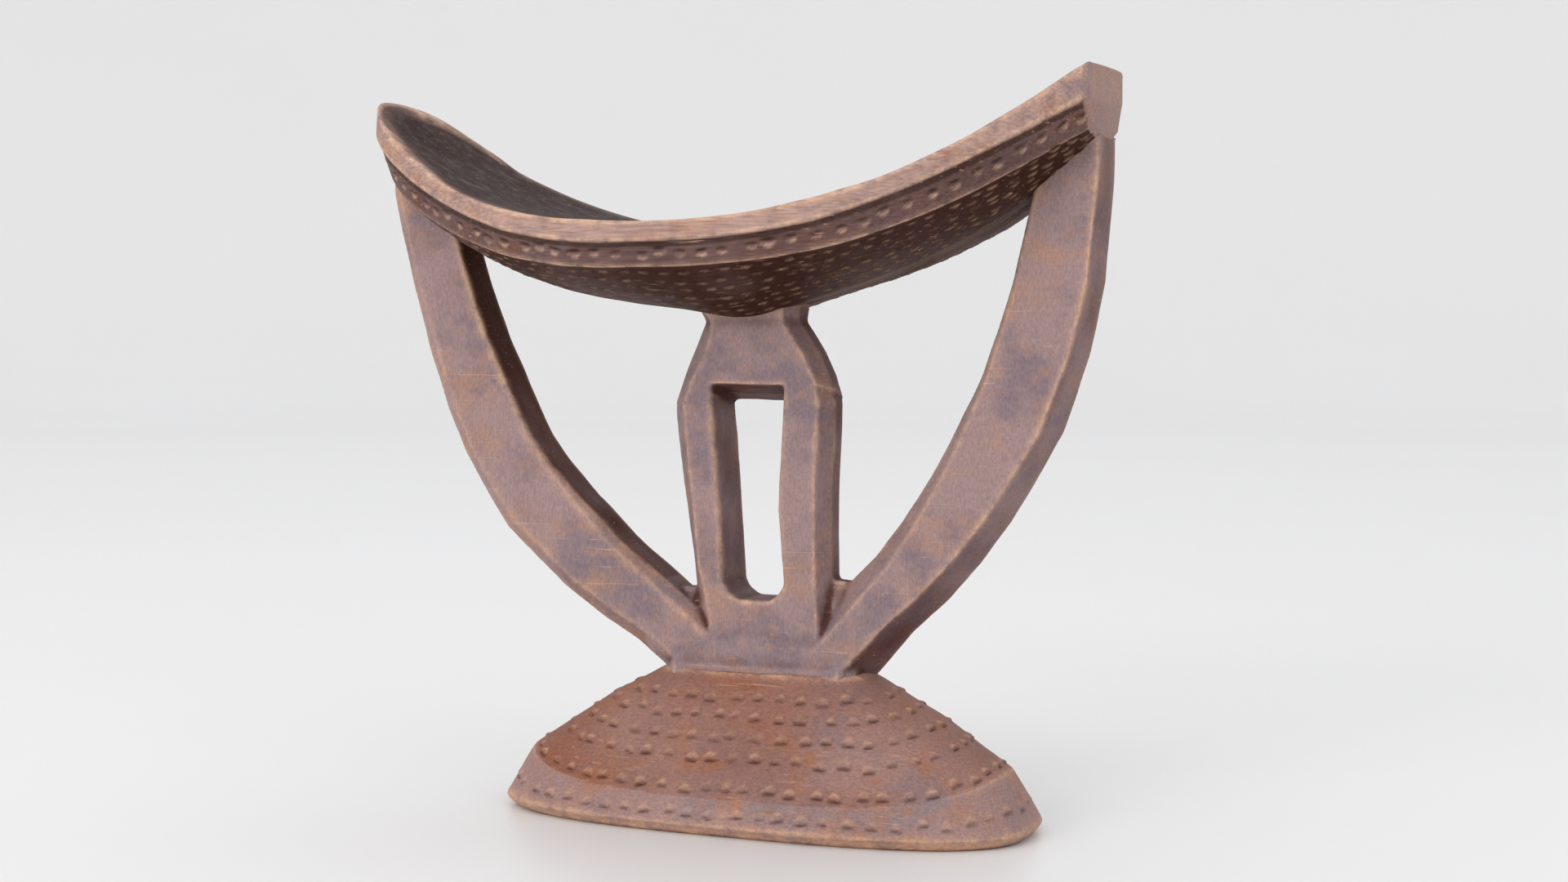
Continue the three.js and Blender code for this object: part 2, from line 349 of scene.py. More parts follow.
def row_spots(ring: Array, spacing: float, start: float, seed: int) -> Array:
    """Choose where the marks of one row go.

    Args:
        ring: the points of the row, all the way round.
        spacing: distance from mark to mark, in millimetres.
        start: how far along the first mark is, as a share of the spacing.
        seed: sets how uneven the spacing is.

    Returns:
        The ring position of each mark.
    """
    steps = np.linalg.norm(np.roll(ring, -1, axis=0) - ring, axis=1)
    travelled = np.concatenate([[0], np.cumsum(steps)[:-1]])
    count = int(steps.sum() / spacing)
    slips = np.random.default_rng(seed).normal(0, 0.1, count)
    wanted = (np.arange(count) + start + slips) * steps.sum() / count
    return np.searchsorted(travelled, wanted % steps.sum()) % len(ring)


# ---- finishes --------------------------------------------------------------
def add_node(tree: bpy.types.NodeTree, kind: str, inputs: dict[int | str, object],
             **settings: object) -> bpy.types.Node:
    """Add one node to a material.

    Args:
        tree: the material's nodes.
        kind: the node's Blender type, after "ShaderNode".
        inputs: a value for each input, or another node's output to link to it.
        settings: the node's own options.

    Returns:
        The node.
    """
    node = tree.nodes.new("ShaderNode" + kind)
    for name, value in settings.items():
        setattr(node, name, value)
    for key, value in inputs.items():
        if isinstance(value, Socket):
            tree.links.new(value, node.inputs[key])
        else:
            node.inputs[key].default_value = value
    return node


MIX_FACTOR, MIX_A, MIX_B, MIX_RESULT = 0, 6, 7, 2  # a colour Mix node's sockets


def bare_material(name: str) -> tuple[Material, Socket]:
    """Make a material that has only its object coordinates."""
    made = bpy.data.materials.new(name)
    made.use_nodes = True
    made.node_tree.nodes.clear()
    return made, add_node(made.node_tree, "TexCoord", {}).outputs["Object"]


@dataclass(frozen=True)
class CarvedWood:
    """Dense tropical hardwood, carved green with a knife, then oiled and polished by years of hands.

    The eye gets a satin mauve brown, with paler rubbed edges, dark grime in the cuts, painted
    highlights and shadows on the gouge marks, painted shade where little light falls, ochre
    stains from handling and a fine open grain.
    """

    name: str
    face: str  # the mauve-brown polished surface
    stain: str  # ochre patches
    bloom: str  # greyer patches
    deep_and_shade: str  # the darker, redder wood where hands don't reach, and painted shade on undersides and sheltered faces
    rubbed_and_highlight: str  # rubbed edges, and painted highlights on the lips of the marks
    grime_and_shadow: str  # grime in the cuts, and painted shadow under the rim and in the marks
    grain: Triple  # grain width along x, y and z, in millimetres
    roughness: float = 0.6
    patch: float = 17.0  # a stain's size, in millimetres
    mottle: float = 3.2
    scratch: float = 0.9  # the distance between fine scratches
    streak: float = 0.14  # how much lighter or darker one line of grain is than the next
    relief: float = 0.12  # height of the grain, in millimetres

    def material(self) -> Material:
        """Make the wood's material."""
        made, place = bare_material(self.name)
        tree = made.node_tree

        def noise(size: float, detail: float, stretch: Triple = (1, 1, 1)) -> Socket:
            """Cloudy noise whose features are this many millimetres across, times a stretch per axis."""
            scale = tuple(MM_PER_M / size / s for s in stretch)
            moved = add_node(tree, "Mapping", {"Vector": place, "Scale": scale})
            return add_node(tree, "TexNoise", {
                "Vector": moved.outputs[0], "Scale": 1.0, "Detail": detail, "Roughness": 0.62,
            }).outputs["Fac"]

        def ranged(value: Socket, low: float, high: float, top: float = 1.0) -> Socket:
            """Spread the values between low and high from 0 to top."""
            return add_node(tree, "MapRange", {
                "Value": value, "From Min": low, "From Max": high, "To Max": top,
            }, interpolation_type="SMOOTHSTEP").outputs[0]

        def times(first: Socket, second: object) -> Socket:
            """Multiply two numbers."""
            return add_node(tree, "Math", {0: first, 1: second}, operation="MULTIPLY").outputs[0]

        def painted(under: object, colour: str, share: Socket) -> Socket:
            """Lay a colour over what is there."""
            return add_node(tree, "Mix", {
                MIX_FACTOR: share, MIX_A: under, MIX_B: linear(colour),
            }, data_type="RGBA").outputs[MIX_RESULT]

        def kept(name: str) -> Socket:
            """What the carving kept for each point."""
            return add_node(tree, "Attribute", {}, attribute_name=name).outputs["Fac"]

        clouds = noise(self.patch, 4)
        veils = noise(self.patch * 0.7, 3, (1.3, 1, 0.8))
        mottle = noise(self.mottle, 5)
        grain = noise(1.0, 3, self.grain)
        scratches = noise(1.0, 2, (self.scratch * 22, self.scratch, self.scratch * 0.5))
        tone, light, dark = kept("tone"), kept("light"), kept("dark")

        specks = times(ranged(mottle, 0.5, 0.7, 0.5), ranged(clouds, 0.35, 0.6))
        scratched = times(ranged(scratches, 0.62, 0.74, 0.5), ranged(veils, 0.42, 0.56))
        colour = painted(linear(self.face), self.bloom, ranged(clouds, 0.42, 0.62))
        colour = painted(colour, self.stain, ranged(veils, 0.48, 0.72, 0.6))
        colour = painted(colour, self.stain, specks)
        # painted shade, and darker wood, from the tone attribute
        colour = painted(colour, self.deep_and_shade, tone)
        # grime, and painted shadow under the rim and in the marks
        colour = painted(colour, self.grime_and_shadow, times(dark, ranged(mottle, 0.1, 0.5, 0.9)))
        # rubbed edges, and painted highlights on the lips of the marks
        colour = painted(colour, self.rubbed_and_highlight, times(light, ranged(mottle, 0.25, 0.62, 0.85)))
        colour = painted(colour, self.rubbed_and_highlight, scratched)
        shading = add_node(tree, "MapRange", {
            "Value": grain, "From Min": 0.36, "From Max": 0.64,
            "To Min": 1 - self.streak, "To Max": 1 + self.streak,
        }).outputs[0]
        colour = add_node(tree, "VectorMath", {0: colour, 1: shading}, operation="MULTIPLY").outputs[0]

        gloss = add_node(tree, "MapRange", {
            "Value": mottle, "From Min": 0.3, "From Max": 0.7,
            "To Min": self.roughness - 0.07, "To Max": self.roughness + 0.1,
        }).outputs[0]
        height = add_node(tree, "Math", {0: grain, 1: mottle}, operation="ADD").outputs[0]
        bump = add_node(tree, "Bump", {
            "Height": height, "Distance": self.relief / MM_PER_M, "Strength": 0.7,
        }).outputs[0]
        shader = add_node(tree, "BsdfPrincipled", {
            "Base Color": colour, "Roughness": gloss, "Normal": bump, "IOR": 1.5, "Specular IOR Level": 0.1,
        })
        add_node(tree, "OutputMaterial", {"Surface": shader.outputs[0]})
        return made


@dataclass(frozen=True)
class StudioPaper:
    """Matt white studio card, rolled smooth: it gives a pale ground with a faint soft reflection."""

    name: str = "studio_card_rolled"
    white: str = "#e9e9ea"
    warm: str = "#e6e5e3"

    def material(self) -> Material:
        """Make the card's material."""
        made, place = bare_material(self.name)
        tree = made.node_tree
        fibre = add_node(tree, "TexNoise", {"Vector": place, "Scale": 3.0, "Detail": 2.0}).outputs["Fac"]
        colour = add_node(tree, "Mix", {
            MIX_FACTOR: fibre, MIX_A: linear(self.white), MIX_B: linear(self.warm),
        }, data_type="RGBA").outputs[MIX_RESULT]
        shader = add_node(tree, "BsdfPrincipled", {"Base Color": colour, "Roughness": 0.32, "IOR": 1.35})
        add_node(tree, "OutputMaterial", {"Surface": shader.outputs[0]})
        return made


class Slot(enum.Enum):
    """The record's material slots."""

    CRADLE = "cradle_wood"
    FRAME = "frame_wood"
    FOOT = "foot_wood"


def finish_piece(mesh: Mesh, wood: Material, node: str) -> None:
    """Turn a mesh into a piece of the headrest.

    Args:
        mesh: the carved mesh, in metres.
        wood: its finish.
        node: the CAD node it stands for.
    """
    mesh.materials.clear()
    mesh.materials.append(wood)
    piece = placed(mesh.name, mesh)
    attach(piece, BODY)
    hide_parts(node)
    log.info("%s: %d faces, %s", piece.name, len(mesh.polygons), wood.name)


# ---- cradle ----------------------------------------------------------------
@dataclass
class Cradle:
    """The saddle-shaped neck rest. Sizes are in millimetres."""

    length: float = 175.0
    depth: float = 79.0
    plan_power: float = 2.16
    widest_x: float = 2.6
    overrun: float = 6.5
    low_x: float = -6.0
    hollow_height: float = 132.5
    left_rise: float = 31.2
    right_rise: float = 31.8
    left_power: float = 2.4
    right_power: float = 2.56
    dish: float = 1.2
    rim_height: float = 4.1
    rim_growth: float = 3.2
    rim_bulge: float = 0.4
    rim_step: float = 0.9
    side_height: float = 9.6
    side_growth: float = 3.2
    side_inset: float = 3.4
    keel_depth: float = 17.6
    keel_half_width: float = 6.8
    keel_end_inset: float = 3.8
    keel_taper: float = 3.0
    hub_depth: float = 3.2
    hub_width: float = 15.0
    hub_x: float = 7.7
    back_trim: float = 0.24  # how much the back of the right end is trimmed in
    left_trim: float = 0.09  # how much slimmer the left end is
    blunt_tip: float = 0.5  # how much fuller the back of the left tip is
    segments: int = 800
    band_row: tuple[int, float] = (7, 4.9)  # the ring that carries it, and the distance between its marks
    under_rows: tuple[int, int, int] = (5, 61, 7)  # first and last ring, and how many rows
    under_spacing: float = 4.6
    mark: GougeMark = GougeMark(MarkForm.SCOOP, height=1.5)
    # the marks on the underside get a weaker painted highlight
    under_mark: GougeMark = GougeMark(MarkForm.SCOOP, height=1.25, depth=0.42, shine=0.42)

    def share(self, x: Array) -> Array:
        """Share of the way from the deepest point to the tip."""
        reach = np.where(x < self.low_x, self.low_x + self.length / 2, self.length / 2 - self.low_x)
        return np.abs(x - self.low_x) / reach

    def top(self, x: Array) -> Array:
        """Height of the top edge."""
        share = self.share(x)
        left = self.left_rise * share ** self.left_power
        right = self.right_rise * share ** self.right_power
        return self.hollow_height + np.where(x < self.low_x, left, right)

    def rim(self, x: Array) -> Array:
        """Height of the plain rim."""
        return self.rim_height + self.rim_growth * self.share(x) ** 6

    def side(self, x: Array) -> Array:
        """Drop from the top edge to the lower edge of the marked band."""
        return self.side_height + self.side_growth * self.share(x) ** 2

    def keel(self, x: Array) -> Array:
        """Thickness along the middle."""
        hub = self.hub_depth * ridge(x, self.hub_x, self.hub_width)
        return self.keel_depth + hub - self.keel_taper * self.share(x) ** 1.5

    def ring(self, length_share: float, depth_share: float, inset: float,
             drop: Callable[[Array], Array]) -> Array:
        """One ring of points.

        Args:
            length_share: share of the full length.
            depth_share: share of the full depth.
            inset: how far the ring lies inside the outline.
            drop: gives the drop below the top edge at each x.

        Returns:
            The ring's points.
        """
        turn = np.arange(self.segments) / self.segments * 2 * math.pi
        along, across = np.sin(turn), np.cos(turn)
        left = self.widest_x + self.length / 2
        right = self.length / 2 + self.overrun - self.widest_x
        reach = (np.where(along < 0, left, right) - inset) * length_share
        x = self.widest_x + reach * signed_power(along, 2 / self.plan_power)
        x = np.minimum(x, self.length / 2)
        y = (self.depth / 2 - inset) * depth_share * signed_power(across, 2 / self.plan_power)
        y *= 1 - self.back_trim * (y > 0) * fade(x, 62, 25) ** 2
        y *= 1 - self.left_trim * fade(-x, 40, 24)
        y *= 1 + self.blunt_tip * (y > 0) * fade(-x, 66, 19)
        return np.stack([x, y, self.top(x) - drop(x)], axis=1)

    def zones(self) -> dict[str, list[Array]]:
        """The rings of each zone, from the middle of the top round to the middle of the underside."""
        keel_share = self.keel_half_width / (self.depth / 2 - self.side_inset)

        def under(share: float) -> Array:
            """A ring of the underside, from the band (0) to the keel (1)."""
            steps = [0, 0.24, 0.52, 0.79, 1]
            depth_share = np.interp(share, steps, [1, 0.82, 0.6, 0.38, keel_share])
            full = float(np.interp(share, steps, [0, 0.34, 0.66, 0.88, 1]))
            inset = self.side_inset + (self.keel_end_inset - self.side_inset) * full
            return self.ring(
                1, depth_share, inset, lambda x: self.side(x) + (self.keel(x) - self.side(x)) * full,
            )

        def band(share: float) -> Array:
            """A ring of the marked band, from the rim (0) to its lower edge (1)."""
            inset = self.rim_step + (self.side_inset - self.rim_step) * share
            step = self.rim_step * 0.7  # the cut under the rim slopes
            return self.ring(
                1, 1, inset, lambda x: (self.rim(x) + step) * (1 - share) + self.side(x) * share,
            )

        return {
            "top": [
                self.ring(s, s, self.rim_bulge, lambda x, s=s: np.full_like(x, self.dish * (1 - s ** 2)))
                for s in np.linspace(0, 0.992, 20)
            ],
            "rim": [
                self.ring(1, 1, self.rim_bulge * (1 - s), lambda x, s=s: self.rim(x) * s)
                for s in np.linspace(0, 1, 13)
            ],
            "band": [band(s) for s in np.linspace(0, 1, 15)],
            "under": [under(s) for s in np.linspace(0, 1, 70)[1:]],
            "keel": [
                self.ring(s, keel_share * s, self.keel_end_inset, self.keel)
                for s in np.linspace(1, 0, 8)[1:]
            ],
        }

    def build(self, wood: Material) -> None:
        """Carve the cradle and finish it."""
        zones = self.zones()
        rings = np.array([ring for zone in zones.values() for ring in zone])
        carving = Carving(oval_mesh("cradle_carved", rings))
        starts = dict(zip(zones, itertools.accumulate([0] + [len(zone) for zone in zones.values()][:-1])))
        carving.points = carving.eased(2)
        carving.push(carving.waver((0.3, 17, 1), (0.12, 6, 2)))
        carving.wear()
        self.tint(carving, starts, zones)
        rows = [("band", *self.band_row, self.mark)]
        for step in np.linspace(*self.under_rows):
            rows.append(("under", int(step), self.under_spacing, self.under_mark))
        for number, (zone, step, spacing, mark) in enumerate(rows):
            first = 1 + (starts[zone] + step - 1) * self.segments
            ring = slice(first, first + self.segments)
            carving.stab_row(mark, ring, spacing, number, (0, 40), self.length / 2 - 1.5)
        carving.record()
        finish_piece(carving.mesh, wood, "cradle")

    def tint(self, carving: Carving, starts: dict[str, int], zones: dict[str, list[Array]]) -> None:
        """Set how dark each zone of the wood is: a worn pale rim, a dark top and painted shade on the
        underside.
        """
        finish = {  # depth of tone, share of the wear on edges, wear all over
            "top": (0.66, 1, 0), "rim": (0, 1, 0.4), "band": (0.62, 1, 0),
            # the underside and keel are darkened as painted shade
            "under": (0.97, 0.15, 0), "keel": (1, 0.15, 0),
        }
        for zone, rings in zones.items():
            low = max(1 + (starts[zone] - 1) * self.segments, 0)
            high = low + len(rings) * self.segments
            tone, on_edges, all_over = finish[zone]
            carving.tone[low:high] = tone
            carving.light[low:high] = np.maximum(carving.light[low:high] * on_edges, all_over)
        carving.tone = carving.tone * (1 + carving.waver((0.16, 13, 31)))
        cut = 1 + (starts["band"] - 1) * self.segments
        carving.dark[cut:cut + 3 * self.segments] = 0.7  # painted shadow in the cut under the rim
        flat_end = carving.points[:, 0] > self.length / 2 - 0.9
        carving.tone[flat_end] = 0.05
        carving.light[flat_end] = np.clip(carving.light[flat_end], 0.15, 0.35)
        carving.dark[flat_end] = 0


# ---- foot ------------------------------------------------------------------
@dataclass
class Foot:
    """The oval domed foot. Sizes are in millimetres."""

    middle_x: float = 10.3
    top_x: float = 10.4
    length: float = 125.2
    depth: float = 52.6
    plan_power: float = 2.8
    top_height: float = 33.6
    top_half_length: float = 23.6
    top_half_depth: float = 9.6
    ridge: float = 2.5
    under_bevel: float = 2.2
    band_height: float = 8.6
    band_growth: float = 5.4
    band_inset: float = 2.7
    band_end_inset: float = 6.6
    bow: float = 1.0
    segments: int = 760
    dome_rings: int = 72
    dome_rows: tuple[float, ...] = (0.81, 0.65, 0.48, 0.31, 0.08)  # how far up the dome each row is
    dome_spacing: float = 5.0
    band_row: tuple[int, float, float] = (8, 5.1, 0.5)  # its ring, spacing and share of the full force
    mark: GougeMark = GougeMark(MarkForm.ARCH, depth=0.5, lip=0.2, shine=0.72)

    def ring(self, x: float, half_length: float, half_depth: float, power: float,
             height: float, growth: float) -> Array:
        """One ring of points round the foot, at a height that grows towards the ends."""
        turn = np.arange(self.segments) / self.segments * 2 * math.pi
        along, across = np.sin(turn), np.cos(turn)
        return np.stack([
            x + half_length * signed_power(along, 2 / power),
            half_depth * signed_power(across, 2 / power),
            height + growth * along ** 4,
        ], axis=1)

    def dome(self, share: float) -> Array:
        """A ring of the dome, from the crease (0) to the top (1)."""
        bow = self.bow * math.sin(math.pi * share)

        def mix(low: float, high: float) -> float:
            """A size between the crease and the top."""
            return low + (high - low) * share

        return self.ring(
            mix(self.middle_x, self.top_x),
            mix(self.length / 2 - self.band_end_inset, self.top_half_length) + bow,
            mix(self.depth / 2 - self.band_inset, self.top_half_depth) + bow,
            mix(self.plan_power, 3.2),
            mix(self.band_height, self.top_height),
            self.band_growth * (1 - share),
        )

    def band(self, share: float) -> Array:
        """A ring of the lower band, from the widest line (0) to the crease (1)."""
        return self.ring(
            self.middle_x,
            self.length / 2 - self.band_end_inset * share,
            self.depth / 2 - self.band_inset * share,
            self.plan_power,
            self.ridge + (self.band_height - self.ridge) * share,
            self.band_growth * share,
        )

    def flat(self, share: float, height: float) -> Array:
        """A ring of the sole."""
        half_length = (self.length / 2 - self.under_bevel) * share
        half_depth = (self.depth / 2 - self.under_bevel) * share
        return self.ring(self.middle_x, half_length, half_depth, self.plan_power, height, 0)

    def build(self, wood: Material) -> None:
        """Carve the foot and finish it."""
        crown = [
            self.ring(self.top_x, self.top_half_length * s, self.top_half_depth * s, 3.2, self.top_height, 0)
            for s in np.linspace(0, 0.96, 10)
        ]
        dome = [self.dome(s) for s in np.linspace(1, 0, self.dome_rings)]
        band = [self.band(s) for s in np.linspace(1, 0, 18)[1:]]
        bevel = [self.band(0) * (1 - s) + self.flat(1, 0) * s for s in np.linspace(0, 1, 7)[1:]]
        sole = [self.flat(s, 0) for s in (0.94, 0.8, 0.6, 0.4, 0.2, 0)]
        carving = Carving(oval_mesh("foot_carved", np.array(crown + dome + band + bevel + sole)))
        carving.points = carving.eased(2)
        raised = np.clip(carving.points[:, 2] / 3, 0, 1)
        carving.push(carving.waver((0.42, 13, 5), (0.16, 5, 6)) * raised)
        carving.points[:, 2] = np.maximum(carving.points[:, 2], 0)
        carving.wear()
        self.tint(carving)
        rows = [
            (len(crown) + int((self.dome_rings - 1) * (1 - share)), self.dome_spacing, 1.0)
            for share in self.dome_rows
        ]
        step, spacing, force = self.band_row
        rows.append((len(crown) + len(dome) + step, spacing, force))
        for number, (step, spacing, force) in enumerate(rows):
            first = 1 + (step - 1) * self.segments
            mark = replace(self.mark, depth=self.mark.depth * force, lip=self.mark.lip * force)
            carving.stab_row(mark, slice(first, first + self.segments), spacing, number, (20, 60))
        carving.record()
        finish_piece(carving.mesh, wood, "foot")

    def tint(self, carving: Carving) -> None:
        """Set how dark the wood is: patchy on the dome, paler on the lower band, dark on the sole."""
        x, _, height = carving.points.T
        crease = self.band_height + self.band_growth * np.abs((x - self.middle_x) / 55) ** 4
        carving.tone = 0.62 + carving.waver((0.38, 18, 9))
        carving.tone[height < crease - 0.5] *= 0.25
        carving.tone[height < 0.5] = 0.8
        carving.tone = np.clip(carving.tone, 0, 1)


# ---- arms, post and waist --------------------------------------------------
def travelled(outline: Outline) -> Array:
    """Share of the outline's length at each of its points."""
    steps = np.linalg.norm(np.diff(np.array(outline), axis=0), axis=1)
    return np.concatenate([[0], np.cumsum(steps)]) / steps.sum()


def place_on(outline: Outline, share: float) -> Array:
    """The point (x, z) at a share of the outline's length."""
    shares = travelled(outline)
    points = np.array(outline)
    return np.array([np.interp(share, shares, points[:, 0]), np.interp(share, shares, points[:, 1])])


def x_at(outline: Outline, z: float) -> float:
    """Where an outline is at a height."""
    points = np.array(sorted(outline, key=lambda point: point[1]))
    return float(np.interp(z, points[:, 1], points[:, 0]))


@dataclass
class Arm:
    """One curved arm: a board with hand-cut edges. Outlines run from the cradle down to the waist."""

    outer_ridge: Outline
    inner_ridge: Outline
    outer_cut: Pair  # how far the outer edge stands past its ridge, at the top and the waist
    outer_edge_y: Pair  # the outer edge's flat, from front to back
    inner_cut: Pair  # the same for the inner edge
    slimmer_top: float = 0.0  # taken off each face at the top
    half_thickness: float = 7.0

    def sections(self) -> list[Section]:
        """One section for each corner of either edge."""
        corners = np.concatenate([travelled(self.outer_ridge), travelled(self.inner_ridge)])
        shares = sorted({round(float(share), 3) for share in corners})
        made = []
        for share in shares:
            outer, inner = place_on(self.outer_ridge, share), place_on(self.inner_ridge, share)
            out = (outer - inner) / np.linalg.norm(outer - inner)
            cut = self.inner_cut[0] + (self.inner_cut[1] - self.inner_cut[0]) * share ** 2
            thick = self.half_thickness - self.slimmer_top * (1 - share)
            edge = outer + out * (self.outer_cut[0] + (self.outer_cut[1] - self.outer_cut[0]) * share)
            inside = inner - out * cut
            rows = [
                (outer, -thick), (edge, self.outer_edge_y[0]), (edge, self.outer_edge_y[1]),
                (outer, thick), (inner, thick), (inside, thick - cut), (inside, cut - thick),
                (inner, -thick),
            ]
            made.append(np.array([(point[0], y, point[1]) for point, y in rows]))
        return made


@dataclass
class Post:
    """The pierced post. Outlines run from the cradle down to the waist."""

    left_edge: Outline
    left_ridge: Outline
    right_ridge: Outline
    slot_left: Outline
    slot_right: Outline
    right_cut: float = 2.6
    half_thickness: float = 6.5
    cut_back: float = 4.2
    slot_arris: float = 0.7
    slot_draft: float = 0.5  # the slot is this much narrower at the back, each side
    leg_levels: tuple[float, ...] = (
        38.0, 44.0, 49.4, 51.0, 53.0, 57.0, 63.5, 69.5, 75.5, 82.0, 86.0, 90.0, 93.2, 99.0,
    )
    head_levels: tuple[Pair, ...] = (  # height, share of the collar
        (99.5, 0), (102, 0), (104.5, 0), (108, 0), (111.2, 0), (113.4, 1), (116, 1.3),
    )
    slot_top_front: float = 97.4
    slot_top_back: float = 93.2
    collar: float = 1.3

    def edge(self, side: int, z: float) -> Pair:
        """The outer edge and the front ridge on one side."""
        if side < 0:
            return x_at(self.left_edge, z), x_at(self.left_ridge, z)
        ridge = x_at(self.right_ridge, z)
        return ridge + self.right_cut, ridge

    def leg(self, side: int) -> list[Section]:
        """Sections of the leg on one side of the slot."""
        slot = self.slot_left if side < 0 else self.slot_right
        thick, arris = self.half_thickness, self.slot_arris
        made = []
        for z in self.leg_levels:
            edge, ridge = self.edge(side, z)
            front = x_at(slot, z)
            back = front - side * self.slot_draft
            rows = [
                (ridge, -thick), (edge, self.cut_back - thick), (edge, thick - self.cut_back), (ridge, thick),
                (back + side * arris, thick), (back, thick - arris), (front, arris - thick),
                (front + side * arris, -thick),
            ]
            made.append(np.array([(x, y, z) for x, y in rows]))
        return made

    def head(self) -> list[Section]:
        """Sections of the head, over the slot. Its underside slopes down towards the back."""
        thick = self.half_thickness
        slope = (self.slot_top_front - self.slot_top_back) / (2 * thick)
        middle = (self.slot_top_front + self.slot_top_back) / 2
        made = []
        for z, swell in ((middle, 0), *self.head_levels):
            flare = self.collar * swell
            rows = []
            corners = ((1, -thick), (0, self.cut_back - thick), (0, thick - self.cut_back), (1, thick))
            around = [(-1, *corner) for corner in corners] + [(1, *corner) for corner in reversed(corners)]
            for side, x_index, y in around:
                height = z - slope * y if z == middle else z
                x = self.edge(side, height)[x_index] + side * flare
                rows.append((x, y + math.copysign(flare * 0.6, y), height))
            made.append(np.array(rows))
        return made


@dataclass
class Waist:
    """The block where arms and post meet over the foot."""

    middle_x: float = 10.4
    profile: tuple[Triple, ...] = (  # height, half width, half depth
        (31.5, 22.4, 8.9), (33.6, 22.8, 8.2), (35.4, 23.0, 7.3), (38.5, 21.5, 6.9),
        (42.0, 18.0, 6.4), (45.0, 15.0, 4.6),
    )
    sill_height: float = 49.4
    sill_half_depth: float = 6.4
    sill_span: Pair = (-4.0, 21.0)
    sill_foot: float = 40.0
    fork_profile: tuple[Triple, ...] = ((2.8, 6.2, 42.0), (2.5, 4.2, 48.0))
    fork_top: Pair = (2.2, 2.0)  # half width and half depth, as in the profile
    crotches: tuple[Pair, ...] = ((-7.8, 51.2), (28.2, 54.2))  # middle and height
    corner: float = 3.2  # cut off each upright corner

    def sections(self) -> list[list[Section]]:
        """Sections of the flared block, the sill under the slot and the two crotches."""
        flared = [self.slab(self.middle_x - w, self.middle_x + w, d, z) for z, w, d in self.profile]
        levels = (self.sill_foot, self.sill_height)
        sill = [self.slab(*self.sill_span, self.sill_half_depth, z) for z in levels]
        forks = []
        for middle, top in self.crotches:
            profile = (*self.fork_profile, (*self.fork_top, top))
            forks.append([self.slab(middle - w, middle + w, d, z) for w, d, z in profile])
        return [flared, sill, *forks]

    def slab(self, left: float, right: float, half_depth: float, z: float) -> Section:
        """A rectangular section with its corners cut off."""
        corner = min(self.corner, half_depth / 2, (right - left) / 3)
        middle_x, half_width = (left + right) / 2, (right - left) / 2
        turns = (  # side, face, whether the corner lies on the face
            (-1, -1, 0), (-1, -1, 1), (1, -1, 1), (1, -1, 0), (1, 1, 0), (1, 1, 1), (-1, 1, 1), (-1, 1, 0),
        )
        made = []
        for side, face, on_face in turns:
            x = middle_x + side * (half_width - corner * on_face)
            made.append((x, face * (half_depth - corner * (1 - on_face)), z))
        return np.array(made)


